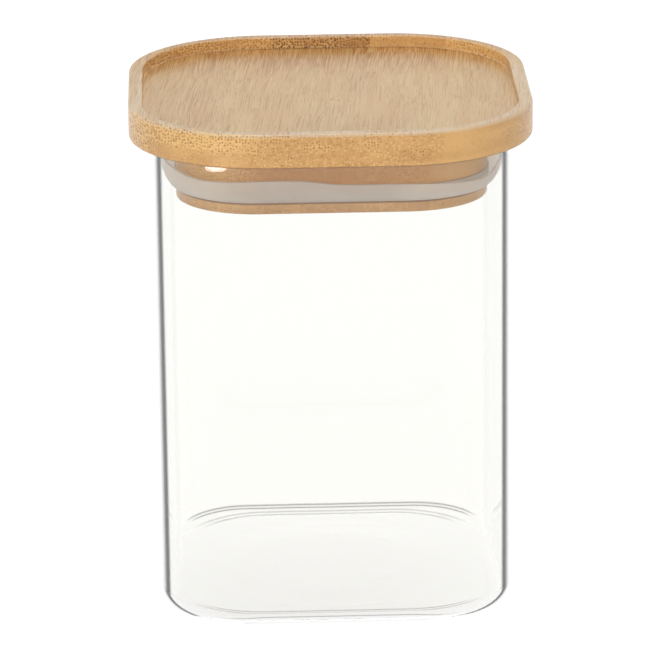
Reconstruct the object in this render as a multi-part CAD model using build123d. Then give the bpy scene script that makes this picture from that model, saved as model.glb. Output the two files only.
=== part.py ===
from build123d import *

import math
import os

# Square glass spice jar with a bamboo lid that lifts off and a silicone seal.
# Millimetres, +Z up. The origin is the middle of the jar's footprint, on the surface that it stands on.
# The front is -Y. The lid is shown seated, and it leaves straight up.

# One overrun lets every cut pass clean through the face that it opens.
overrun = 1.0

# Glass jar, blown with an even wall
jar_width = 75.0
jar_height = 102.7
jar_corner_radius = 19.0
jar_wall = 1.3
jar_base = 1.8
jar_heel_radius = 4.0
jar_floor_fillet = 2.8
# The rim is fire-polished round on the outside and eased on the inside, which leaves a narrow flat on top.
rim_round = 0.6
rim_inner_ease = 0.4
# The middle of the base is pushed up, inside and out, and its slope is this wide.
push_up_radius = 28.0
push_up_rise = 0.7
push_up_slope = 12.0

# Bamboo board on top, with a recess that takes the base of a like jar
stacking_clearance = 2.1
recess_rim = 3.0
recess_depth = 2.45
recess_mouth_ease = 0.35
# The recess's corners are wider than the jar's, and the board's are wider again.
recess_corner_step = 5.7
board_corner_step = 4.1
board_thickness = 7.3
board_edge_ease = 0.6

# Bamboo plug glued under the board
plug_gap = 3.2
plug_corner_step = 0.2
plug_depth = 12.2
plug_foot_ease = 0.4
flange_height = 2.55
groove_height = 3.4
groove_depth = 2.0

# Silicone seal: a root that fills the groove, and a lip that flares from it and ends upright at the glass
root_stand = 0.35
lip_height = 5.4
lip_root_width = 1.6
lip_tip_width = 0.6
lip_clearance = 0.2
# The lip leaves the root already rising: it starts this far round its quarter turn, in degrees.
lip_start_angle = 20.0
lip_levels = 4

# Sizes worked out from the ones above
cavity_width = jar_width - 2 * jar_wall
cavity_corner_radius = jar_corner_radius - jar_wall
recess_width = jar_width + 2 * stacking_clearance
recess_corner_radius = jar_corner_radius + recess_corner_step
board_width = recess_width + 2 * recess_rim
board_corner_radius = recess_corner_radius + board_corner_step
board_top = jar_height + board_thickness
plug_width = cavity_width - 2 * plug_gap
plug_corner_radius = cavity_corner_radius - plug_corner_step
plug_bottom = jar_height - plug_depth
groove_bottom = plug_bottom + flange_height
groove_top = groove_bottom + groove_height
root_width = plug_width + 2 * root_stand
root_corner_radius = plug_corner_radius + root_stand
tip_width = cavity_width - 2 * lip_clearance
tip_corner_radius = cavity_corner_radius - lip_clearance


def block(width, corner_radius, bottom, top):
    """An upright rounded square between two heights."""
    outline = Pos(0, 0, bottom) * RectangleRounded(width, width, corner_radius)
    return extrude(outline, amount=top - bottom)


def level_edges(solid, level):
    """The edges that lie flat at one level of a solid, counted from below."""
    return solid.edges().group_by(Axis.Z)[level]


def push_up(foot):
    """The pushed-up middle of the base, rising from the height foot, on a disc below it."""
    crown_radius = push_up_radius - push_up_slope
    slope = Pos(0, 0, foot) * Cone(
        push_up_radius, crown_radius, push_up_rise, align=(Align.CENTER, Align.CENTER, Align.MIN)
    )
    disc = Pos(0, 0, foot) * Cylinder(
        push_up_radius, overrun, align=(Align.CENTER, Align.CENTER, Align.MAX)
    )
    return slope + disc


def glass_jar():
    """An even shell with a round heel, a pushed-up base and a fire-polished rim."""
    outside = block(jar_width, jar_corner_radius, 0, jar_height)
    outside = fillet(level_edges(outside, 0), jar_heel_radius)
    cavity = block(cavity_width, cavity_corner_radius, jar_base, jar_height + overrun)
    cavity = fillet(level_edges(cavity, 0), jar_floor_fillet)
    jar = outside - (cavity - push_up(jar_base)) - push_up(0)
    mouth = jar.faces().sort_by(Axis.Z)[-1].inner_wires()[0].edges()
    jar = chamfer(mouth, rim_inner_ease)
    lip = jar.faces().sort_by(Axis.Z)[-1].outer_wire().edges()
    return fillet(lip, rim_round)


def lid_board():
    """The board that covers the rim, with the stacking recess milled into its top."""
    board = block(board_width, board_corner_radius, jar_height, board_top)
    board = chamfer(level_edges(board, 0) + level_edges(board, -1), board_edge_ease)
    board -= block(recess_width, recess_corner_radius, board_top - recess_depth, board_top + overrun)
    mouth = board.faces().sort_by(Axis.Z)[-1].inner_wires()[0].edges()
    return chamfer(mouth, recess_mouth_ease)


def groove_core():
    """What is left of the plug inside the groove."""
    core_width = plug_width - 2 * groove_depth
    return block(core_width, plug_corner_radius - groove_depth, groove_bottom, groove_top)


def lid_plug():
    """The block that reaches into the jar: a flange, the seal's groove and a neck of the same width."""
    plug = block(plug_width, plug_corner_radius, plug_bottom, jar_height)
    plug = chamfer(level_edges(plug, 0), plug_foot_ease)
    around = block(plug_width + 2 * overrun, plug_corner_radius + overrun, groove_bottom, groove_top)
    return plug - (around - groove_core())


def lip_space(root_inset, tip_inset):
    """The space inside one face of the lip, as rounded squares that widen through a quarter of an ellipse."""
    start = math.radians(lip_start_angle)
    sections = []
    for level in range(lip_levels + 1):
        angle = start + (math.pi / 2 - start) * level / lip_levels
        out = (math.sin(angle) - math.sin(start)) / (1 - math.sin(start))
        up = (math.cos(start) - math.cos(angle)) / math.cos(start)
        inset = root_inset + (tip_inset - root_inset) * out
        width = root_width + (tip_width - root_width) * out - 2 * inset
        radius = root_corner_radius + (tip_corner_radius - root_corner_radius) * out - inset
        sections.append(Pos(0, 0, groove_bottom + lip_height * up) * RectangleRounded(width, width, radius))
    return loft(sections, ruled=True)


def seal_ring():
    """The root in the groove, and the lip that wipes the glass."""
    lip = lip_space(0, 0) - lip_space(lip_root_width, lip_tip_width)
    root = block(root_width, root_corner_radius, groove_bottom, groove_top)
    return lip + root - groove_core()


pieces = {
    "glass_jar": glass_jar(),
    "lid_board": lid_board(),
    "lid_plug": lid_plug(),
    "seal_ring": seal_ring(),
}

os.makedirs("parts", exist_ok=True)
for name, piece in pieces.items():
    export_step(piece, os.path.join("parts", name + ".step"))
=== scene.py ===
import math

import bpy
from mathutils import Matrix, Vector


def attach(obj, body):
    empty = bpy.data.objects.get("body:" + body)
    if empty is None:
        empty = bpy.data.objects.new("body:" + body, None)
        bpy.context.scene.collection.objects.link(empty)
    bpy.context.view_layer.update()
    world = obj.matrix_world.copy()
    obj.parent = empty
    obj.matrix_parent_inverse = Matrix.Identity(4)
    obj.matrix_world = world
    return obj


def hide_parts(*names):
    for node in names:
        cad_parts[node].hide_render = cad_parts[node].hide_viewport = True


# A square glass spice jar, its bamboo lid and the lid's silicone seal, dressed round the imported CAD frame.
# Shapes and patterns are written in millimetres, and the floor, the lamps and the camera in metres.

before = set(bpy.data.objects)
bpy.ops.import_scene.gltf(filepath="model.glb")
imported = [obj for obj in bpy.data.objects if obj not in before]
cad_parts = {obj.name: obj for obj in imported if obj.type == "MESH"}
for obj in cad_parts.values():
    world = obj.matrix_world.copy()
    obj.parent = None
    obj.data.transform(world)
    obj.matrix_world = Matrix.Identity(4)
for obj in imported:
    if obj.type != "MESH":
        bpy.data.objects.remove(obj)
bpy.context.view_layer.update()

MM = 0.001


# Meshes: rings of rounded squares joined along a profile

# Steps round each corner of a rounded square and along each of its sides.
ARC_STEPS = 20
SIDE_STEPS = 10
RING_POINTS = 4 * (ARC_STEPS + SIDE_STEPS)


def square_ring(half, radius):
    """Plan points of a rounded square, anticlockwise, each with the direction it faces."""
    corner = half - radius
    ring = []
    for quarter in range(4):
        turn = quarter * math.pi / 2
        middle_x = corner * (1 if quarter in (0, 3) else -1)
        middle_y = corner * (1 if quarter in (0, 1) else -1)
        for step in range(ARC_STEPS + 1):
            angle = turn + math.pi / 2 * step / ARC_STEPS
            ring.append((middle_x + radius * math.cos(angle), middle_y + radius * math.sin(angle), angle))
        facing = turn + math.pi / 2
        start_x, start_y, _ = ring[-1]
        for step in range(1, SIDE_STEPS):
            along = 2 * corner * step / SIDE_STEPS
            ring.append((start_x - math.sin(facing) * along, start_y + math.cos(facing) * along, facing))
    return ring


def round_ring(like, radius):
    """A circle whose points stand at the same angles as those of another ring."""
    angles = [math.atan2(y, x) for x, y, _ in like]
    return [(radius * math.cos(angle), radius * math.sin(angle), angle) for angle in angles]


def bend(half, radius, z, size, start, end, steps, hollow=False):
    """Profile points round (half, z), between two angles in degrees. A hollow bend faces its centre."""
    sign = -1 if hollow else 1
    points = []
    for step in range(steps + 1):
        angle = math.radians(start + (end - start) * step / steps)
        out, up = math.cos(angle), math.sin(angle)
        points.append((half + size * out, radius + size * out, z + size * up, sign * out, sign * up))
    return points


def eased(half, radius, z, ease, start, end, hollow=False):
    """Profile points that ease a sharp corner at (half, z). An ease is a size and a number of steps."""
    size, steps = ease
    middle = math.radians((start + end) / 2)
    out, up = math.copysign(size, math.cos(middle)), math.copysign(size, math.sin(middle))
    return bend(half - out, radius - out, z - up, size, start, end, steps, hollow)


def smooth(share):
    """A share from 0 to 1, moved so that it starts and ends gently."""
    return share * share * (3 - 2 * share)


def smooth_slope(share):
    """How steeply a smoothed share rises."""
    return 6 * share * (1 - share)


def band_faces(count, low, high):
    """Faces between two rings of count points, given the index of the first point of each."""
    faces = []
    for place in range(count):
        beside = (place + 1) % count
        faces.append((low + place, low + beside, high + beside, high + place))
    return faces


def cap_faces(count, first, middle, upward):
    """Faces between a ring of count points and its middle point."""
    faces = []
    for place in range(count):
        pair = (first + place, first + (place + 1) % count)
        faces.append((middle, *(pair if upward else pair[::-1])))
    return faces


def mesh_from(name, rings, closed=False):
    """A smooth mesh through rings of (plan points, z, outward, upward). Open ends get a flat cap."""
    count = len(rings[0][0])
    verts, normals, faces = [], [], []
    for plan, z, out, up in rings:
        size = math.hypot(out, up)
        for place, (x, y, facing) in enumerate(plan):
            height = z[place] if isinstance(z, list) else z
            verts.append((x * MM, y * MM, height * MM))
            normals.append((out / size * math.cos(facing), out / size * math.sin(facing), up / size))
    for ring in range(len(rings) if closed else len(rings) - 1):
        faces += band_faces(count, ring * count, (ring + 1) % len(rings) * count)
    if not closed:
        for ring, upward in ((0, False), (len(rings) - 1, True)):
            _, z, _, up = rings[ring]
            faces += cap_faces(count, ring * count, len(verts), upward)
            verts.append((0.0, 0.0, z * MM))
            normals.append((0.0, 0.0, 1.0 if up > 0 else -1.0))
    data = bpy.data.meshes.new(name)
    data.from_pydata(verts, [], faces)
    data.validate()
    data.shade_smooth()
    data.normals_split_custom_set_from_vertices(normals)
    piece = bpy.data.objects.new(name, data)
    bpy.context.scene.collection.objects.link(piece)
    return piece


def squares(profile):
    """Rings of rounded squares for profile points (half width, corner radius, z, outward, upward)."""
    return [(square_ring(half, radius), z, out, up) for half, radius, z, out, up in profile]


# The jar: the CAD's sizes, with a rounder rim inside and a smoother slope round the middle of the base

JAR_HALF = 37.5
JAR_RADIUS = 19.0
JAR_TOP = 102.7
WALL = 1.3
BASE = 1.8
INNER_HALF = JAR_HALF - WALL
INNER_RADIUS = JAR_RADIUS - WALL
# The upright wall is made in this many steps.
WALL_STEPS = 12
# Eases, each as its size and its steps.
HEEL = (4.0, 12)
FLOOR_FILLET = (2.8, 10)
RIM_OUTSIDE = (0.6, 6)
RIM_INSIDE = (0.4, 5)
# The base's pushed-up middle: the outer and inner radius of its slope, its rise, its flat cap's radius, and
# how many steps lead from that cap to the outer radius.
PUSH_OUTER = 28.0
PUSH_INNER = 16.0
PUSH_RISE = 0.7
PUSH_CAP = 2
PUSH_STEPS = 24
# The rim stops this far below the board, so that the two don't share a surface.
SEAT_GAP = 0.02


def push_up_rings(like, z, facing, radii):
    """Rings over the base's pushed-up middle, which rises smoothly between two radii."""
    width = PUSH_OUTER - PUSH_INNER
    rings = []
    for radius in radii:
        share = min(max((PUSH_OUTER - radius) / width, 0), 1)
        slope = -smooth_slope(share) / width * PUSH_RISE
        rings.append((round_ring(like, radius), z + smooth(share) * PUSH_RISE, -slope * facing, facing))
    return rings


def wall_points(half, radius, start, end, facing):
    """Profile points along an upright wall, between two heights."""
    return [
        (half, radius, start + (end - start) * step / WALL_STEPS, facing, 0) for step in range(1, WALL_STEPS)
    ]


def outside_rings(radii, top, rim):
    """The jar's outside, from the middle of the base up to the rim."""
    foot = square_ring(JAR_HALF - HEEL[0], JAR_RADIUS - HEEL[0])
    profile = eased(JAR_HALF, JAR_RADIUS, 0, HEEL, -90, 0)
    profile += wall_points(JAR_HALF, JAR_RADIUS, HEEL[0], top - RIM_OUTSIDE[0], 1)
    profile += eased(JAR_HALF, JAR_RADIUS, top, RIM_OUTSIDE, 0, 90)
    return push_up_rings(foot, 0, -1, radii) + squares(profile + rim)


def inside_rings(radii, top, rim):
    """The jar's inside, from the rim down to the middle of its floor."""
    floor_edge = square_ring(INNER_HALF - FLOOR_FILLET[0], INNER_RADIUS - FLOOR_FILLET[0])
    profile = wall_points(INNER_HALF, INNER_RADIUS, top - RIM_INSIDE[0], BASE + FLOOR_FILLET[0], -1)
    profile += eased(INNER_HALF, INNER_RADIUS, BASE, FLOOR_FILLET, 0, -90, hollow=True)
    return squares(rim + profile) + push_up_rings(floor_edge, BASE, 1, radii[::-1])


def glass_rings():
    """The rings of the jar's outside, and those of its inside, which start at the last ring of the rim."""
    radii = [PUSH_CAP + (PUSH_OUTER - PUSH_CAP) * step / PUSH_STEPS for step in range(PUSH_STEPS + 1)]
    top = JAR_TOP - SEAT_GAP
    rim = eased(INNER_HALF, INNER_RADIUS, top, RIM_INSIDE, 90, 180)
    return outside_rings(radii, top, rim[:-1]), inside_rings(radii, top, rim[-1:])


# The lid's board and plug: the CAD's sizes, with small rounds in place of its chamfers and sharp edges

BOARD_HALF = 42.6
BOARD_RADIUS = 28.8
BOARD_TOP = 110.0
RECESS_HALF = 39.6
RECESS_RADIUS = 24.7
RECESS_FLOOR = 107.55
PLUG_HALF = 33.0
PLUG_RADIUS = 17.5
PLUG_BOTTOM = 90.5
GROOVE_BOTTOM = 93.05
GROOVE_TOP = 96.45
GROOVE_DEPTH = 2.0
CORE_HALF = PLUG_HALF - GROOVE_DEPTH
CORE_RADIUS = PLUG_RADIUS - GROOVE_DEPTH
# Eases, each as its size and its steps.
BOARD_FOOT_EASE = (0.6, 5)
BOARD_TOP_EASE = (0.7, 6)
MOUTH_EASE = (0.4, 5)
RECESS_FILLET = (0.4, 4)
PLUG_EASE = (0.4, 4)
GROOVE_EASE = (0.12, 3)


def board_rings():
    """The board, from the edge of its underside round its top edge and down into the recess."""
    profile = eased(BOARD_HALF, BOARD_RADIUS, JAR_TOP, BOARD_FOOT_EASE, -90, 0)
    profile += eased(BOARD_HALF, BOARD_RADIUS, BOARD_TOP, BOARD_TOP_EASE, 0, 90)
    profile += eased(RECESS_HALF, RECESS_RADIUS, BOARD_TOP, MOUTH_EASE, 90, 180)
    profile += eased(RECESS_HALF, RECESS_RADIUS, RECESS_FLOOR, RECESS_FILLET, 0, -90, hollow=True)
    return squares(profile)


def plug_rings():
    """The plug, from its foot past the seal's groove and up to the board."""
    profile = eased(PLUG_HALF, PLUG_RADIUS, PLUG_BOTTOM, PLUG_EASE, -90, 0)
    profile += eased(PLUG_HALF, PLUG_RADIUS, GROOVE_BOTTOM, GROOVE_EASE, 0, 90)
    profile += eased(CORE_HALF, CORE_RADIUS, GROOVE_BOTTOM, GROOVE_EASE, -90, -180, hollow=True)
    profile += eased(CORE_HALF, CORE_RADIUS, GROOVE_TOP, GROOVE_EASE, 180, 90, hollow=True)
    profile += eased(PLUG_HALF, PLUG_RADIUS, GROOVE_TOP, GROOVE_EASE, -90, 0)
    profile.append((PLUG_HALF, PLUG_RADIUS, JAR_TOP, 1, 0))
    return squares(profile)


# The seal: the CAD's sizes, with a wavy edge on its lip

# The root stands this far out of the plug's groove.
ROOT_STAND = 0.35
ROOT_HALF = PLUG_HALF + ROOT_STAND
ROOT_RADIUS = PLUG_RADIUS + ROOT_STAND
ROOT_EASE = 0.1
TIP_HALF = 36.0
TIP_RADIUS = 17.5
LIP_HEIGHT = 5.4
LIP_ROOT_WIDTH = 1.6
LIP_TIP_WIDTH = 0.6
LIP_START_ANGLE = 20.0
LIP_STEPS = 14
TIP_STEPS = 8
# The place where the lip's inner face leaves the root is looked for in this many steps.
SEARCH_STEPS = 200
# The lip's normals come from two points, this far before and after, as a share of its quarter turn.
NORMAL_REACH = 0.001
# The wave grows with height, and with the distance from the root up to this one.
WAVE_REACH = 0.8
# How far the lip's edge stands above its level, by the direction from the middle in degrees. It waves along
# the front, and it rides up the glass on both sides.
LIP_EDGE = (
    (-180, 3.4), (-153, 3.2), (-128, -0.1), (-105, 0.1), (-86, -1.0), (-61, -1.1), (-46, -1.5), (-28, 3.4),
    (0, 3.4), (20, 3.2), (55, 0.2), (90, -0.3), (125, 0.2), (160, 3.2), (180, 3.4),
)


def lip_rise(x, y):
    """How far the lip's edge stands above its level in the direction of a plan point."""
    angle = math.degrees(math.atan2(y, x))
    for (low, rise), (high, next_rise) in zip(LIP_EDGE, LIP_EDGE[1:]):
        if angle <= high:
            break
    return rise + (next_rise - rise) * smooth((angle - low) / (high - low))


def lip_point(turn, share):
    """A point of the lip, this far round its quarter turn: on its outer face for share 0, its inner for 1."""
    start = math.radians(LIP_START_ANGLE)
    angle = start + (math.pi / 2 - start) * turn
    out = (math.sin(angle) - math.sin(start)) / (1 - math.sin(start))
    up = (math.cos(start) - math.cos(angle)) / math.cos(start)
    inset = share * (LIP_ROOT_WIDTH + (LIP_TIP_WIDTH - LIP_ROOT_WIDTH) * out)
    half = ROOT_HALF + (TIP_HALF - ROOT_HALF) * out - inset
    radius = ROOT_RADIUS + (TIP_RADIUS - ROOT_RADIUS) * out - inset
    return half, radius, GROOVE_BOTTOM + LIP_HEIGHT * up


def lip_face(share, turns):
    """Profile points along one face of the lip, with normals square to its line."""
    sign = 1 if share == 0 else -1
    points = []
    for turn in turns:
        before = lip_point(max(turn - NORMAL_REACH, 0), share)
        after = lip_point(min(turn + NORMAL_REACH, 1), share)
        along = (after[0] - before[0], after[2] - before[2])
        points.append((*lip_point(turn, share), sign * along[1], -sign * along[0]))
    return points


def lip_profile():
    """The lip, up its outer face, over its edge and down its inner face to the root."""
    turns = [step / LIP_STEPS for step in range(LIP_STEPS)]
    tip = LIP_TIP_WIDTH / 2
    half, radius, z = lip_point(1, 0)
    edge = bend(half - tip, radius - tip, z - tip, tip, 0, 180, TIP_STEPS)
    places = (step / SEARCH_STEPS for step in range(SEARCH_STEPS + 1))
    first = next(place for place in places if lip_point(place, 1)[0] > ROOT_HALF)
    inner = lip_face(1, [first + (1 - first) * turn for turn in reversed(turns)])
    return lip_face(0, turns) + edge + inner


def root_profile(lip_foot):
    """The root that fills the groove, from the height where the lip's inner face leaves it."""
    eased_half, eased_radius = ROOT_HALF - ROOT_EASE, ROOT_RADIUS - ROOT_EASE
    return [
        (ROOT_HALF, ROOT_RADIUS, lip_foot + ROOT_EASE, 1, 0),
        (ROOT_HALF, ROOT_RADIUS, GROOVE_TOP - ROOT_EASE, 1, 0),
        (eased_half, eased_radius, GROOVE_TOP, 0, 1),
        (CORE_HALF, CORE_RADIUS, GROOVE_TOP, 0, 1),
        (CORE_HALF, CORE_RADIUS, GROOVE_TOP - ROOT_EASE, -1, 0),
        (CORE_HALF, CORE_RADIUS, GROOVE_BOTTOM + ROOT_EASE, -1, 0),
        (CORE_HALF, CORE_RADIUS, GROOVE_BOTTOM, 0, -1),
        (eased_half, eased_radius, GROOVE_BOTTOM, 0, -1),
    ]


def seal_rings():
    """The lip with its wavy edge, and the root."""
    lip = lip_profile()
    rings = []
    for half, radius, z, out, up in lip + root_profile(lip[-1][2]):
        plan = square_ring(half, radius)
        wave = min(max((half - ROOT_HALF) / WAVE_REACH, 0), 1) * (z - GROOVE_BOTTOM) / LIP_HEIGHT
        rings.append((plan, [z + wave * lip_rise(x, y) for x, y, _ in plan], out, up))
    return rings


# Node trees

# The Mix node's sockets go by number, because values and colours share their names.
MIX_SHARE = 0
MIX_VALUES = (2, 3)
MIX_COLOURS = (6, 7)
MIXED_VALUE = 0
MIXED_COLOUR = 2
# The sRGB scale is straight up to its knee, and follows a power above it.
SRGB_KNEE = 0.04045
SRGB_STRAIGHT = 12.92
SRGB_OFFSET = 0.055
SRGB_POWER = 2.4


def linear_part(value):
    """One part of a colour from 0 to 255, as the light it stands for."""
    share = value / 255
    if share <= SRGB_KNEE:
        return share / SRGB_STRAIGHT
    return ((share + SRGB_OFFSET) / (1 + SRGB_OFFSET)) ** SRGB_POWER


def linear(red, green, blue):
    """A colour picked in the photograph's sRGB scale of 0 to 255, as the light it stands for."""
    return linear_part(red), linear_part(green), linear_part(blue)


def is_socket(value):
    """Whether a value comes out of another node."""
    return isinstance(value, bpy.types.NodeSocket)


class Tree:
    """The node tree of a material or a world, in the making."""

    def __init__(self, owner):
        """An empty tree for its owner."""
        owner.use_nodes = True
        self.owner = owner
        self.nodes = owner.node_tree.nodes
        self.links = owner.node_tree.links
        self.nodes.clear()

    def put(self, kind, inputs=(), **settings):
        """A new node. Its inputs are linked where a socket is given, and set where not."""
        node = self.nodes.new("ShaderNode" + kind)
        for key, value in settings.items():
            setattr(node, key, value)
        for key, value in dict(inputs).items():
            if is_socket(value):
                self.links.new(value, node.inputs[key])
            else:
                node.inputs[key].default_value = value
        return node

    def math(self, operation, *values, clamp=False):
        """The result of one of Blender's sums."""
        return self.put("Math", dict(enumerate(values)), operation=operation, use_clamp=clamp).outputs[0]

    def times(self, value, other):
        """One value times another."""
        return self.math("MULTIPLY", value, other)

    def less(self, value, other, clamp=False):
        """One value less another."""
        return self.math("SUBTRACT", value, other, clamp=clamp)

    def scaled(self, value, factor, offset, clamp=False):
        """A value times a factor, plus an offset."""
        return self.math("MULTIPLY_ADD", value, factor, offset, clamp=clamp)

    def size(self, value):
        """A value without its sign."""
        return self.math("ABSOLUTE", value)

    def larger(self, value, other):
        """The larger of two values."""
        return self.math("MAXIMUM", value, other)

    def step(self, value, low, high):
        """0 below low, 1 above high and smooth between, or the other way round."""
        inputs = {"Value": value, "From Min": low, "From Max": high, "To Min": 0.0, "To Max": 1.0}
        return self.put("MapRange", inputs, interpolation_type="SMOOTHSTEP").outputs[0]

    def ramp(self, factor, stops):
        """A colour ramp through stops of (position, colour or grey)."""
        node = self.put("ValToRGB", {0: factor})
        elements = node.color_ramp.elements
        while len(elements) < len(stops):
            elements.new(0.5)
        for element, (position, colour) in zip(elements, stops):
            element.position = position
            element.color = (*colour, 1) if isinstance(colour, tuple) else (colour, colour, colour, 1)
        return node.outputs[0]

    def noise(self, vector, scale, detail=2.0, roughness=0.5):
        """Cloudy noise from 0 to 1."""
        inputs = {"Vector": vector, "Scale": scale, "Detail": detail, "Roughness": roughness}
        return self.put("TexNoise", inputs).outputs["Fac"]

    def stretched_noise(self, place, cells, detail=2.0, roughness=0.5):
        """Noise with so many cells per millimetre in each direction. A plain number stays as it is."""
        pairs = zip(place, cells)
        parts = (self.times(value, count) if is_socket(value) else value for value, count in pairs)
        return self.noise(self.vector(*parts), 1.0, detail, roughness)

    def mix(self, share, under, over):
        """A share of one colour over another."""
        under, over = (value if is_socket(value) else (*value, 1) for value in (under, over))
        inputs = {MIX_SHARE: share, MIX_COLOURS[0]: under, MIX_COLOURS[1]: over}
        return self.put("Mix", inputs, data_type="RGBA").outputs[MIXED_COLOUR]

    def mix_values(self, share, low, high):
        """A value between two others."""
        inputs = {MIX_SHARE: share, MIX_VALUES[0]: low, MIX_VALUES[1]: high}
        return self.put("Mix", inputs).outputs[MIXED_VALUE]

    def between(self, share, tones):
        """A colour between two tones."""
        return self.mix(share, *(linear(*tone) for tone in tones))

    def layer(self, colour, mask, share, tone):
        """A tone laid over a colour, by a mask and a share of it."""
        return self.mix(self.times(mask, share), colour, tone if is_socket(tone) else linear(*tone))

    def blend(self, share, under, over):
        """A share of one shader over another."""
        return self.put("MixShader", {0: share, 1: under, 2: over}).outputs[0]

    def vector(self, x, y, z):
        """A vector from its three parts."""
        return self.put("CombineXYZ", {0: x, 1: y, 2: z}).outputs[0]

    def parts(self, vector):
        """The three parts of a vector."""
        return self.put("SeparateXYZ", {0: vector}).outputs

    def millimetres(self):
        """Object coordinates in millimetres."""
        place = self.put("TexCoord").outputs["Object"]
        return self.put("VectorMath", {"Vector": place, "Scale": 1 / MM}, operation="SCALE").outputs[0]

    def bump(self, height, strength, distance):
        """A normal tilted by a height that stands for so many millimetres."""
        inputs = {"Strength": strength, "Distance": distance * MM, "Height": height}
        return self.put("Bump", inputs).outputs[0]

    def finish(self, shader, kind="OutputMaterial"):
        """Close the tree, and give back the material or the world."""
        self.put(kind, {"Surface": shader})
        return self.owner


def material_tree(name):
    """The node tree of a new material."""
    return Tree(bpy.data.materials.new(name))


def light_ray(tree):
    """1 for rays that carry a lamp's or bounced light to a surface."""
    path = tree.put("LightPath").outputs
    return tree.larger(path["Is Shadow Ray"], path["Is Diffuse Ray"])


# Bamboo: strips glued edge to edge, which run front to back and slightly slanted

# How far the strips shift sideways per millimetre towards the back, and how wide their colour ramps are.
STRIP_SLANT = 0.0785
STRIP_SPAN = 96.0
# How gradually each strip starts at the back.
BACK_GRADUAL = 0.1
# Each strip: where it starts and how gradually in front, then how brown it is and how dense its fibres are
# at top and foot, in front and at the back.
STRIPS = (
    (-48.0, 0.1, (0.05, 0.90, 0.70), (0.45, 0.85, 0.80)),
    (-36.6, 1.0, (0.10, 0.85, 0.05), (0.45, 0.85, 0.80)),
    (-14.6, 5.0, (0.25, 0.40, 0.30), (0.70, 1.00, 1.00)),
    (7.4, 0.2, (0.22, 0.42, 0.15), (0.00, 0.10, 0.10)),
    (24.3, 2.0, (0.00, 0.00, 0.00), (0.00, 0.60, 0.50)),
)
# Noise in the wood, as its cells per millimetre across the strips, along them and upwards. Two of them are
# the same at all heights, and are cut from the noise at a height of their own.
WOOD_NOISE = {
    "sway": (0.06, 0.035, 0.1),
    "lift": (0.1, 0.05, 0.0),
    "patch": (0.12, 0.03, 0.35),
    "fine": (3.2, 0.07, 3.2),
    "grain": (1.7, 0.2, 2.6),
    "streak": (4.4, 0.06, 2.2),
    "wide": (0.25, 0.012, 0.0),
}
LIFT_CUT = 40.0
WIDE_CUT = 7.0
FINE_DETAIL = 3.0
FINE_ROUGHNESS = 0.6
STREAK_DETAIL = 1.0
# How far the fibres wander sideways and upwards.
SWAY = 1.5
LIFT = 3.0
# The fibres' cells per millimetre and how unevenly they lie, then their size in a cell: the least, how much
# more by luck and how much more in brown wood.
FIBRE_CELLS = 1.6
FIBRE_UNEVEN = 0.62
FIBRE_SIZE = 0.19
FIBRE_SIZE_LUCK = 0.12
FIBRE_SIZE_BROWN = 0.08
# How dark the palest fibre is, and how much darker one can be by luck.
FIBRE_DEPTH = 0.25
FIBRE_DEPTH_LUCK = 0.6
# How much patches shift the fibres' density, and how much that density adds to the streaks.
PATCH_DENSITY = 1.5
DENSITY_STREAKS = 0.08
# Between which two values each mark fades in.
FADES = {
    "end_grain": (0.03, 0.15),
    "upper_part": (0.36, 0.56),
    "fibrous": (0.02, 0.15),
    "fibre_there": (-0.05, 0.12),
    "fibre_edge": (-0.1, 0.1),
    "brown": (0.48, 0.66),
    "fleck_edge": (0.36, 0.16),
    "fleck_luck": (0.55, 0.7),
    "net_edge": (0.3, 0.5),
    "net_density": (0.1, 0.6),
    "patch": (0.35, 0.7),
    "fine": (0.35, 0.75),
    "grain": (0.48, 0.66),
    "sheen": (0.42, 0.3),
    "streak": (0.6, 0.7),
    "wide": (0.45, 0.62),
    "back": (10.0, 38.0),
    "reflection_streaks": (0.44, 0.6),
}
# The wood's own tones, along the fibres and across them, and those of fibres in pale and in brown wood.
LIGHT_WOOD = ((217, 180, 118), (226, 178, 113))
DARK_WOOD = ((180, 136, 82), (166, 112, 60))
FIBRE_TONES = ((154, 100, 24), (60, 26, 4))
# How much of a strip's brown shows along the fibres, and how much more across them.
BROWN_SHOWN = 0.25
BROWN_SHOWN_ACROSS = 0.6
# How much the patches and the fibres show.
PATCH_SHARE = 0.3
FIBRE_SHARE = 0.9
# How much the grain shows in bare wood, and how much more in fibrous wood.
GRAIN_SHARE = 0.15
GRAIN_SHARE_FIBROUS = 0.3
GRAIN_TONE = (180, 124, 66)
# How much each other mark shows, and its tone.
FINE = (0.25, (170, 118, 68))
NET = (0.5, (252, 212, 142))
FLECK = (0.45, (246, 212, 152))
WIDE = (0.5, (204, 156, 92))
SHEEN = (0.3, (240, 212, 160))
STREAK = (0.62, (170, 122, 8))
# Painted reflection: towards the back, faces along the fibres are painted darker and more orange, with darker
# streaks, as the recess floor looks where it reflects its back wall.
BACK_WALL_REFLECTION = (0.3, (196, 140, 76))
BACK_WALL_REFLECTION_STREAKS = (0.85, (164, 102, 44))
# Painted shade: bands where the wood is darker. They are a painted contact shadow at the board's foot and in
# the seal's groove, painted shade over the plug's foot, and painted shade that is also warmer over the neck
# under the board. Each is at what height, how far above and below, how much and what colour.
SHADE_TONE = (92, 56, 32)
BOARD_SHADED = ((JAR_TOP, 0.5, 0.5, SHADE_TONE),)
PLUG_SHADED = (
    (GROOVE_BOTTOM, 0.7, 0.8, SHADE_TONE),
    (PLUG_BOTTOM, 3.2, 0.3, SHADE_TONE),
    (99.6, 7.0, 0.53, (145, 86, 0)),
)
# The shade is full up to this far from its height, as a share of its reach.
SHADE_FULL = 0.4
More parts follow.
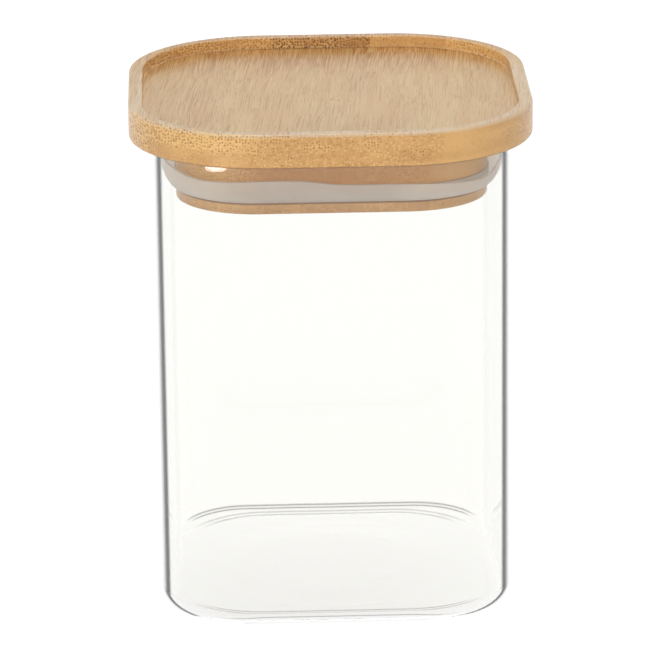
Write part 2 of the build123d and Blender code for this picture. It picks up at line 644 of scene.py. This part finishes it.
# Painted light: where the wood is paler. This is a painted sheen on the top of the rim, fading towards the
# back, and painted light on the neck's corners, which lie in shade under the board. Each is a start and an
# end for the height, how far out sideways and how far back, then how much and what colour. The rim's start
# and end sideways lie below 0, so it is pale at any width.
RIM_PAINTED_SHEEN = ((109.3, 109.6), (-2.0, -1.0), (30.0, 5.0), 0.45, (222, 206, 182))
NECK_PAINTED_LIGHT = ((96.4, 96.6), (14.0, 30.0), (60.0, 50.0), 0.85, (255, 214, 146))
# The wood's bump, as a strength and the height it stands for, and how much of it the streaks take off.
WOOD_BUMP = (0.3, 0.05)
STREAK_BUMP = 0.6
# How matt it is at least, and how much more by the fine noise.
WOOD_ROUGHNESS = 0.22
WOOD_ROUGHNESS_FINE = 0.16
WOOD_IOR = 1.5


def strip_stops(side):
    """The colour ramp's stops across the strips, for the front (0) or the back (1)."""
    stops = []
    for start, gradual, *rows in STRIPS:
        soft = gradual if side == 0 else BACK_GRADUAL
        if stops:
            stops.append(((start - soft) / STRIP_SPAN + 0.5, stops[-1][1]))
        stops.append(((start + soft) / STRIP_SPAN + 0.5, rows[side]))
    return stops


def fade(tree, value, mark):
    """How far a mark has faded in at a value."""
    return tree.step(value, *FADES[mark])


def strip_values(tree, across, y):
    """How brown the wood is, and how dense its fibres are at the top and at the foot."""
    place = tree.scaled(across, 1 / STRIP_SPAN, 0.5)
    back = tree.scaled(y, 0.5 / BOARD_HALF, 0.5, clamp=True)
    front_strips, back_strips = (tree.ramp(place, strip_stops(side)) for side in (0, 1))
    return tree.put("SeparateColor", {0: tree.mix(back, front_strips, back_strips)}).outputs


def wander(tree, across, y, z):
    """Where a fibre has wandered to, sideways and upwards, so that a cut along fibres shows dashes."""
    sway = tree.stretched_noise((across, y, z), WOOD_NOISE["sway"])
    lift = tree.stretched_noise((across, y, LIFT_CUT), WOOD_NOISE["lift"])
    return tree.scaled(tree.less(sway, 0.5), SWAY, across), tree.scaled(tree.less(lift, 0.5), LIFT, z)


def fibre_marks(tree, side, height, brown, dense, fibrous):
    """The dark fibres, the pale flecks between them and the pale net round them."""
    inputs = {"Vector": tree.vector(side, height, 0.0), "Scale": FIBRE_CELLS, "Randomness": FIBRE_UNEVEN}
    cells = tree.put("TexVoronoi", inputs, voronoi_dimensions="2D")
    luck = tree.put("SeparateColor", {0: cells.outputs["Color"]}).outputs
    far = cells.outputs["Distance"]
    there = tree.times(fade(tree, tree.less(dense, luck[0]), "fibre_there"), fibrous)
    size = tree.scaled(luck[1], FIBRE_SIZE_LUCK, FIBRE_SIZE)
    size = tree.scaled(fade(tree, brown, "brown"), FIBRE_SIZE_BROWN, size)
    fibre = tree.times(fade(tree, tree.less(size, far), "fibre_edge"), there)
    fibre = tree.times(fibre, tree.scaled(luck[2], FIBRE_DEPTH_LUCK, FIBRE_DEPTH))
    fleck = tree.times(fade(tree, far, "fleck_edge"), fade(tree, luck[2], "fleck_luck"))
    fleck = tree.times(fleck, tree.times(tree.less(1.0, there), fibrous))
    net = tree.times(fade(tree, far, "net_edge"), fade(tree, tree.less(dense, brown), "net_density"))
    return fibre, fleck, net


def painted_light_layer(tree, colour, x, y, z, pale):
    """The wood's colour with its painted light: a paler part in place of sheen or light."""
    heights, sides, depths, share, tone = pale
    mask = tree.times(tree.step(z, *heights), tree.step(tree.size(x), *sides))
    return tree.mix(tree.times(mask, tree.times(tree.step(y, *depths), share)), colour, linear(*tone))


def shaded_layers(tree, colour, z, shaded):
    """The wood's colour with its bands of painted shade."""
    for middle, reach, share, tone in shaded:
        band = tree.step(tree.size(tree.less(z, middle)), reach, reach * SHADE_FULL)
        colour = tree.layer(colour, band, share, tone)
    return colour


def across_layers(tree, colour, fibre, fleck, net, brown, end):
    """The wood's colour with its marks on faces that cut the fibres across."""
    colour = tree.layer(colour, tree.times(net, end), *NET)
    colour = tree.layer(colour, tree.times(fleck, end), *FLECK)
    tone = tree.between(fade(tree, brown, "brown"), FIBRE_TONES)
    return tree.layer(colour, tree.times(fibre, end), FIBRE_SHARE, tone)


def along_layers(tree, colour, wide, strands, streak, y, along):
    """The wood's colour with its marks on faces that run along the fibres, among them the painted sheen and
    the painted reflection of the back wall.
    """
    back_wall_reflection = tree.times(fade(tree, y, "back"), along)
    for mask, mark in (
        (tree.times(fade(tree, wide, "wide"), along), WIDE),
        (tree.times(fade(tree, strands, "sheen"), along), SHEEN),
        (tree.times(streak, along), STREAK),
        (back_wall_reflection, BACK_WALL_REFLECTION),
        (tree.times(fade(tree, strands, "reflection_streaks"), back_wall_reflection), BACK_WALL_REFLECTION_STREAKS),
    ):
        colour = tree.layer(colour, mask, *mark)
    return colour


def bamboo(name, foot, depth, shaded, pale):
    """Bamboo for a piece with this foot and depth. Its fibres show as dots on end and as dashes along."""
    tree = material_tree(name)
    x, y, z = tree.parts(tree.millimetres())
    across = tree.scaled(y, -STRIP_SLANT, x)
    side, height = wander(tree, across, y, z)
    # 1 on faces that cut the fibres across, and 0 on faces that run along them.
    end = fade(tree, tree.size(tree.parts(tree.put("NewGeometry").outputs["Normal"])[1]), "end_grain")

    brown, dense_top, dense_foot = strip_values(tree, across, y)
    level = tree.scaled(z, 1 / depth, -foot / depth, clamp=True)
    dense = tree.mix_values(fade(tree, level, "upper_part"), dense_foot, dense_top)
    fibrous = fade(tree, dense, "fibrous")
    patch = tree.stretched_noise((across, y, z), WOOD_NOISE["patch"])
    dense = tree.scaled(tree.less(patch, 0.5), PATCH_DENSITY, dense)
    fibre, fleck, net = fibre_marks(tree, side, height, brown, dense, fibrous)

    wandered = (side, y, height)
    fine = tree.stretched_noise(wandered, WOOD_NOISE["fine"], FINE_DETAIL, FINE_ROUGHNESS)
    grain = tree.stretched_noise(wandered, WOOD_NOISE["grain"])
    strands = tree.stretched_noise(wandered, WOOD_NOISE["streak"], STREAK_DETAIL)
    streak = fade(tree, tree.scaled(dense, DENSITY_STREAKS, strands), "streak")
    wide = tree.stretched_noise((side, y, WIDE_CUT), WOOD_NOISE["wide"])

    light_wood, dark_wood = tree.between(end, LIGHT_WOOD), tree.between(end, DARK_WOOD)
    brown_shown = tree.times(brown, tree.scaled(end, BROWN_SHOWN_ACROSS, BROWN_SHOWN))
    colour = tree.mix(brown_shown, light_wood, dark_wood)
    colour = tree.layer(colour, fade(tree, patch, "patch"), PATCH_SHARE, dark_wood)
    colour = tree.layer(colour, fade(tree, fine, "fine"), *FINE)
    grain_share = tree.scaled(fibrous, GRAIN_SHARE_FIBROUS, GRAIN_SHARE)
    colour = tree.layer(colour, tree.times(fade(tree, grain, "grain"), end), grain_share, GRAIN_TONE)
    colour = painted_light_layer(tree, colour, x, y, z, pale)
    colour = across_layers(tree, colour, fibre, fleck, net, brown, end)
    colour = along_layers(tree, colour, wide, strands, streak, y, tree.less(1.0, end))
    colour = shaded_layers(tree, colour, z, shaded)

    bump = tree.bump(tree.less(fine, tree.times(streak, STREAK_BUMP)), *WOOD_BUMP)
    rough = tree.scaled(fine, WOOD_ROUGHNESS_FINE, WOOD_ROUGHNESS)
    inputs = {"Base Color": colour, "Roughness": rough, "IOR": WOOD_IOR, "Normal": bump}
    return tree.finish(tree.put("BsdfPrincipled", inputs).outputs[0])


# Silicone: cloudy and slightly see-through, with its inside painted paler as painted light

# Cells per millimetre of the clouds and of the fine grain, and the detail of both.
CLOUD_CELLS = 0.12
RUBBER_CELLS = 6.0
RUBBER_DETAIL = 3.0
RUBBER_BUMP = (0.15, 0.05)
# The tones between which it is clouded.
RUBBER_TONES = ((178, 166, 154), (199, 190, 178))
# Painted shade: it is darker near the middle of the front and the back: how far out sideways, how much and
# what colour.
RUBBER_MIDDLE = (28.0, 6.0)
RUBBER_MIDDLE_PAINTED_SHADE = (0.35, (156, 143, 134))
# The lip's inside, by how far the surface faces away from the middle, times its distance from there.
RUBBER_INSIDE = (0.0, -8.0)
# Painted light: the lip's inside is painted this paler colour, as light soaking through the lip would make
# it.
RUBBER_INSIDE_PAINTED_LIGHT = (250, 246, 240)
# How matt it is at least, and how much more by the clouds.
RUBBER_ROUGHNESS = 0.38
RUBBER_ROUGHNESS_CLOUD = 0.15
RUBBER_IOR = 1.41
# How far light spreads under the surface, as shares for red, green and blue and as a depth.
RUBBER_RADIUS = (1.0, 0.9, 0.8)
RUBBER_DEPTH = 3.0
# The share of light that passes straight through and its colour, then the same for light that soaks in.
RUBBER_CLEAR = (0.75, (0.96, 0.94, 0.9, 1))
RUBBER_SOAKED = (0.45, (0.88, 0.83, 0.76, 1))


def silicone(name):
    """The seal's rubber. Light passes through it and soaks through the lip, and the lip's inside is also
    painted paler as painted light.
    """
    tree = material_tree(name)
    place = tree.millimetres()
    cloud = tree.noise(place, CLOUD_CELLS, RUBBER_DETAIL)
    x, y, _ = tree.parts(place)
    normal = tree.put("NewGeometry").outputs["Normal"]
    outward = tree.put("VectorMath", {0: normal, 1: tree.vector(x, y, 0.0)}, operation="DOT_PRODUCT")
    inside = tree.step(outward.outputs["Value"], *RUBBER_INSIDE)
    colour = tree.between(cloud, RUBBER_TONES)
    colour = tree.layer(colour, tree.step(tree.size(x), *RUBBER_MIDDLE), *RUBBER_MIDDLE_PAINTED_SHADE)
    colour = tree.mix(inside, colour, linear(*RUBBER_INSIDE_PAINTED_LIGHT))
    shader = tree.put(
        "BsdfPrincipled",
        {
            "Base Color": colour,
            "Roughness": tree.scaled(cloud, RUBBER_ROUGHNESS_CLOUD, RUBBER_ROUGHNESS),
            "IOR": RUBBER_IOR,
            "Normal": tree.bump(tree.noise(place, RUBBER_CELLS, RUBBER_DETAIL), *RUBBER_BUMP),
            "Subsurface Weight": 1.0,
            "Subsurface Radius": RUBBER_RADIUS,
            "Subsurface Scale": RUBBER_DEPTH * MM,
        },
    )
    clear_share, clear_colour = RUBBER_CLEAR
    soaked_share, soaked_colour = RUBBER_SOAKED
    clear = tree.put("BsdfTransparent", {"Color": clear_colour})
    soaked = tree.put("BsdfTranslucent", {"Color": soaked_colour})
    lit = tree.blend(tree.times(inside, soaked_share), shader.outputs[0], soaked.outputs[0])
    return tree.finish(tree.blend(tree.times(light_ray(tree), clear_share), lit, clear.outputs[0]))


# Glass: clear, with painted shade: darker at its outline, and with grey lines round the base

GLASS_IOR = 1.47
GLASS_TONE = (254, 254, 252)
# With this blend, the Layer Weight node's Facing is 1 less the cosine of the angle to the viewer.
FACING_BLEND = 0.5
# The surface ripples slightly: cells per millimetre, then the bump.
RIPPLE_CELLS = 0.05
RIPPLE_BUMP = (0.2, 0.2)
# Light that has turned this often in the glass goes straight on.
GLASS_TURNS = 5.5
# Painted shade: share of the light that the wall lets by near its outline, by how far it turns sideways from
# the viewer. It stands in for the dark edge that light bending through a real wall gives.
WALL_EDGE = (
    (0.536, 1.0), (0.563, 0.8), (0.584, 0.45), (0.605, 0.18), (0.626, 0.05), (0.672, 0.03), (0.704, 0.12),
    (0.741, 0.36), (0.788, 0.66), (0.852, 0.88),
)
# The wall darkens only on its rounded corners, which begin this far from the middle.
CORNER_START = (18.0, 20.5)
# It stays clear where it turns level, by the upright part of the direction that it faces.
UPRIGHT = (0.88, 0.6)
# The least square of how level the view is, so that nothing is divided by zero.
LEAST_LEVEL = 0.01
# Painted shade: grey lines round the base: middle, half width and light let by. Those inside go by how level
# the glass lies there, and those underneath by how far out they run.
INSIDE_LINES = ((0.743, 0.1, 0.4), (0.906, 0.065, 0.35))
UNDER_LINES = ((32.3, 0.9, 0.45), (34.2, 0.9, 0.5))
# The lines underneath run square, with corners round points this far out.
UNDER_CORNER = 14.0
# The lines show near the front and the back: how far out, how level the glass underneath is, and how much the
# glass inside turns from the viewer.
LINES_OUT = (23.0, 30.0)
UNDER_LEVEL = (0.93, 0.97)
INSIDE_TURN = (0.55, 0.42)
# Inside, level glass and glass that turns from the viewer are darker: from where to where, and how much.
LEVEL_SHADE = (0.5, 1.0, 0.05)
TURNED_SHADE = (0.6, 1.0, 0.2)
# The rim is darker: from how far to how far below its top, and how much.
RIM_SHADE = (1.2, 0.4, 0.3)


def grey_lines(tree, where, lines, shown, place):
    """How dark the grey lines round the base are, where they are shown."""
    share = 0.0
    for middle, half, light in lines:
        line = tree.times(tree.step(where, middle - half, middle), tree.step(where, middle + half, middle))
        share = tree.larger(share, tree.times(line, 1 - light ** 2))
    return tree.times(share, tree.times(shown, tree.step(tree.size(place[1]), *LINES_OUT)))


def wall_outline(tree, place, level, facing, behind):
    """How much painted shade darkens the wall near its outline, measured as on an upright wall seen from its
    own height.
    """
    from_above = tree.put("LayerWeight", {"Blend": FACING_BLEND, "Normal": (0.0, 0.0, 1.0)})
    overhead = tree.less(1.0, from_above.outputs["Facing"])
    level_view = tree.math("SQRT", tree.larger(tree.less(1.0, tree.times(overhead, overhead)), LEAST_LEVEL))
    sideways = tree.less(1.0, tree.math("DIVIDE", tree.less(1.0, facing), level_view), clamp=True)
    edge = tree.less(1.0, tree.ramp(sideways, [(where, light ** 2) for where, light in WALL_EDGE]))
    edge = tree.times(tree.times(edge, tree.less(1.0, behind)), tree.step(level, *UPRIGHT))
    for value in place:
        edge = tree.times(edge, tree.step(tree.size(value), *CORNER_START))
    return edge


def outside_shade(tree, place, level, facing, behind):
    """How dark the outer surface is: the lines under the base, seen from behind, and the wall's outline."""
    beyond = (tree.larger(tree.less(tree.size(value), UNDER_CORNER), 0.0) for value in place)
    out = tree.math("SQRT", tree.math("ADD", *(tree.times(value, value) for value in beyond)))
    shown = tree.times(behind, tree.step(level, *UNDER_LEVEL))
    lines = grey_lines(tree, tree.math("ADD", out, UNDER_CORNER), UNDER_LINES, shown, place)
    return tree.larger(lines, wall_outline(tree, place, level, facing, behind))


def inside_shade(tree, place, level, facing, behind):
    """How dark the inner surface is: the lines round the floor, and level and turned glass."""
    shown = tree.times(tree.less(1.0, behind), tree.step(facing, *INSIDE_TURN))
    share = grey_lines(tree, level, INSIDE_LINES, shown, place)
    for value, (low, high, depth) in ((level, LEVEL_SHADE), (facing, TURNED_SHADE)):
        share = tree.larger(share, tree.times(tree.step(value, low, high), depth))
    return share


def glass(name, shade):
    """Clear glass, darkened by a shade. Lamps and bounced light pass straight through it."""
    tree = material_tree(name)
    x, y, z = tree.parts(tree.millimetres())
    surface = tree.put("NewGeometry").outputs
    level = tree.size(tree.parts(surface["Normal"])[2])
    facing = tree.put("LayerWeight", {"Blend": FACING_BLEND}).outputs["Facing"]
    share = shade(tree, (x, y), level, facing, surface["Backfacing"])
    low, high, depth = RIM_SHADE
    share = tree.larger(share, tree.times(tree.step(z, JAR_TOP - low, JAR_TOP - high), depth))
    shader = tree.put(
        "BsdfPrincipled",
        {
            "Base Color": tree.mix(share, linear(*GLASS_TONE), (0.0, 0.0, 0.0)),
            "Roughness": 0.0,
            "IOR": GLASS_IOR,
            "Transmission Weight": 1.0,
            "Normal": tree.bump(tree.noise(tree.millimetres(), RIPPLE_CELLS), *RIPPLE_BUMP),
        },
    )
    turned = tree.math("GREATER_THAN", tree.put("LightPath").outputs["Ray Depth"], GLASS_TURNS)
    through = tree.larger(light_ray(tree), turned)
    return tree.finish(tree.blend(through, shader.outputs[0], tree.put("BsdfTransparent").outputs[0]))


# The pieces


def jar_piece():
    """The jar, with glass of its own for the outside and the inside."""
    outside, inside = glass_rings()
    piece = mesh_from("glass_shell", outside + inside)
    piece.data.materials.append(glass("glass_outside", outside_shade))
    piece.data.materials.append(glass("glass_inside", inside_shade))
    for face in piece.data.polygons:
        if min(face.vertices) >= len(outside) * RING_POINTS:
            face.material_index = 1
    return piece


glass_shell = jar_piece()
board = mesh_from("board", board_rings())
plug = mesh_from("plug", plug_rings())
seal = mesh_from("seal", seal_rings(), closed=True)
board.data.materials.append(bamboo("bamboo_board", JAR_TOP, BOARD_TOP - JAR_TOP, BOARD_SHADED, RIM_PAINTED_SHEEN))
plug.data.materials.append(bamboo("bamboo_plug", PLUG_BOTTOM, JAR_TOP - PLUG_BOTTOM, PLUG_SHADED, NECK_PAINTED_LIGHT))
seal.data.materials.append(silicone("silicone_seal"))

for piece, node, body, slot in (
    (glass_shell, "glass_jar", "jar", "glass"),
    (board, "lid_board", "lid", "bamboo"),
    (plug, "lid_plug", "lid", "bamboo"),
    (seal, "seal_ring", "lid", "silicone"),
):
    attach(piece, body)
    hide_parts(node)


# The stage: a white floor and a white studio, in metres

FLOOR_HALF = 4
# The floor lies this far below the jar, so that the two don't share a surface.
FLOOR_DROP = 0.0003
FLOOR_WHITE = 0.86
FLOOR_GLOW = 1.25
# How much of the floor is glow where it is seen straight or in a reflection, and through glass.
GLOW_SHARE = 0.75
GLOW_SHARE_THROUGH = 0.56
# The studio's walls light the object more than its ceiling does, and all of it looks white. The change from
# one to the other lies between two heights on a sphere of size 1.
WALL_LIGHT = 1.1
CEILING_LIGHT = 0.28
CEILING_START = (0.1, 0.6)
WHITE = (1, 1, 1, 1)


def seen(tree):
    """1 where the camera looks, straight or through glass or by a reflection."""
    path = tree.put("LightPath").outputs
    return tree.larger(tree.larger(path["Is Camera Ray"], path["Is Glossy Ray"]), path["Is Transmission Ray"])


def floor_material():
    """Matt white paper that glows where the camera looks."""
    tree = material_tree("floor_white")
    paper = tree.put("BsdfDiffuse", {"Color": (FLOOR_WHITE, FLOOR_WHITE, FLOOR_WHITE, 1)})
    glow = tree.put("Emission", {"Color": WHITE, "Strength": FLOOR_GLOW})
    through = tree.put("LightPath").outputs["Is Transmission Ray"]
    share = tree.times(tree.scaled(through, GLOW_SHARE_THROUGH - GLOW_SHARE, GLOW_SHARE), seen(tree))
    return tree.finish(tree.blend(share, paper.outputs[0], glow.outputs[0]))


def white_floor():
    """A square floor round the jar's foot."""
    corners = [(-FLOOR_HALF, -FLOOR_HALF, 0), (FLOOR_HALF, -FLOOR_HALF, 0)]
    corners += [(FLOOR_HALF, FLOOR_HALF, 0), (-FLOOR_HALF, FLOOR_HALF, 0)]
    data = bpy.data.meshes.new("floor")
    data.from_pydata(corners, [], [(0, 1, 2, 3)])
    data.materials.append(floor_material())
    thing = bpy.data.objects.new("floor", data)
    thing.location.z = -FLOOR_DROP
    bpy.context.scene.collection.objects.link(thing)
    return thing


def studio():
    """The light of the studio's walls and ceiling."""
    tree = Tree(bpy.data.worlds.new("studio"))
    height = tree.parts(tree.put("TexCoord").outputs["Generated"])[2]
    strength = tree.scaled(tree.step(height, *CEILING_START), CEILING_LIGHT - WALL_LIGHT, WALL_LIGHT)
    sky = tree.put("Background", {"Color": WHITE, "Strength": tree.larger(strength, seen(tree))})
    return tree.finish(sky.outputs[0], "OutputWorld")


floor = white_floor()
bpy.context.scene.world = studio()


# The lamps, in metres and watts

# Each lamp: its place, the point it is aimed at, its width and height, and its power.
FRONT_LAMP = ((-0.35, -1.25, 0.3), (0, 0, 0.09), (0.9, 0.4), 6.6)
TOP_LAMP = ((0.1, 0.45, 1.3), (0, 0, 0.09), (0.7, 0.7), 7.4)
# A strip that shows only as a highlight on the glass, at the left of the neck.
STRIP_LAMP = ((-0.0582, -0.0838, 0.085), (-0.0244, -0.037, 0.1012), (0.036, 0.001), 0.0014)


def area(name, place, aim, size, power):
    """A rectangular lamp at a place, aimed at a point."""
    lamp = bpy.data.lights.new(name, "AREA")
    lamp.shape = "RECTANGLE"
    lamp.size, lamp.size_y = size
    lamp.energy = power
    thing = bpy.data.objects.new(name, lamp)
    thing.location = place
    thing.rotation_euler = (Vector(aim) - Vector(place)).to_track_quat("-Z", "Y").to_euler()
    bpy.context.scene.collection.objects.link(thing)
    return thing


front = area("front", *FRONT_LAMP)
front.visible_glossy = front.visible_transmission = False
strip = area("strip", *STRIP_LAMP)
strip.visible_camera = strip.visible_diffuse = False
top = area("top", *TOP_LAMP)
top.visible_transmission = False


# The camera, in metres, fitted to the outlines of the jar and the lid in the photograph

AZIMUTH = math.radians(-1.643)
ROLL = math.radians(-0.620)
EYE_HEIGHT = 0.381051
DISTANCE = 1.041884
# The point it looks at, sideways from the middle and up.
AIM_SIDE = -0.000457
AIM_HEIGHT = 0.054633
# The camera sees nothing nearer or farther than this.
NEAREST = 0.05
FARTHEST = 50.0
# Blender takes these two in millimetres.
SENSOR_WIDTH = 36.0
LENS = 275.194


def fitted_camera():
    """A camera at the photograph's viewing angle."""
    lens = bpy.data.cameras.new("camera")
    lens.sensor_width = SENSOR_WIDTH
    lens.lens = LENS
    lens.clip_start, lens.clip_end = NEAREST, FARTHEST
    thing = bpy.data.objects.new("camera", lens)
    bpy.context.scene.collection.objects.link(thing)
    eye = Vector((math.sin(AZIMUTH) * DISTANCE, -math.cos(AZIMUTH) * DISTANCE, EYE_HEIGHT))
    level = Vector((math.cos(AZIMUTH), math.sin(AZIMUTH), 0))
    ahead = (level * AIM_SIDE + Vector((0, 0, AIM_HEIGHT)) - eye).normalized()
    upright = level.cross(ahead)
    right = level * math.cos(ROLL) + upright * math.sin(ROLL)
    up = upright * math.cos(ROLL) - level * math.sin(ROLL)
    thing.matrix_world = Matrix((
        (right.x, up.x, -ahead.x, eye.x),
        (right.y, up.y, -ahead.y, eye.y),
        (right.z, up.z, -ahead.z, eye.z),
        (0, 0, 0, 1),
    ))
    return thing


bpy.context.scene.camera = fitted_camera()
bpy.context.scene.view_settings.view_transform = "Standard"
